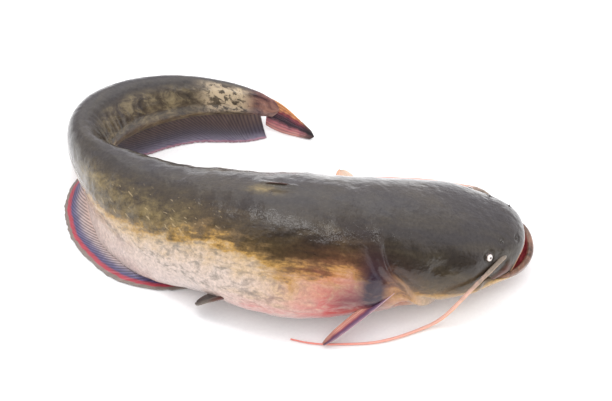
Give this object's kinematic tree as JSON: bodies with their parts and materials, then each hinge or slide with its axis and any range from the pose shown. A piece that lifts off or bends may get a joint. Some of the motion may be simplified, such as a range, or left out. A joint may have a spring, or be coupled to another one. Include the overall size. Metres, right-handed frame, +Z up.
{
  "type": "catfish",
  "caption": "Whole wels catfish lying on its belly, broad flat head with long whiskers and an open mouth, tail curled round to its left.",
  "frame": {"origin": "centre of the footprint of the whole fish, on the surface that it lies on", "axes": "+Z up, +X the way the head points, +Y to the fish's left, the side that the tail is curled to"},
  "size_m": [0.4638, 0.3356, 0.123],
  "materials": {
    "skin": "wet, slimy scaleless skin: dark olive-brown to near black on the back, mottled ochre and grey on the flanks, cream and pink below",
    "eye": "wet eye, white iris and black pupil",
    "fin": "wet, folded fin skin over dark rays, purple-grey with red and pink edges",
    "barbel": "wet, smooth skin, olive-grey at the root and orange-pink towards the tip"
  },
  "bodies": {
    "root": {"body": "skin", "eye_left": "eye", "eye_right": "eye", "anal_fin": "fin", "tail_fin": "fin", "dorsal_fin": "fin", "pectoral_fin_left": "fin", "pectoral_fin_right": "fin", "pelvic_fin_left": "fin", "pelvic_fin_right": "fin", "whisker_left": "barbel", "whisker_right": "barbel", "chin_barbel_front_left": "barbel", "chin_barbel_front_right": "barbel", "chin_barbel_rear_left": "barbel", "chin_barbel_rear_right": "barbel"}
  },
  "joints": []
}
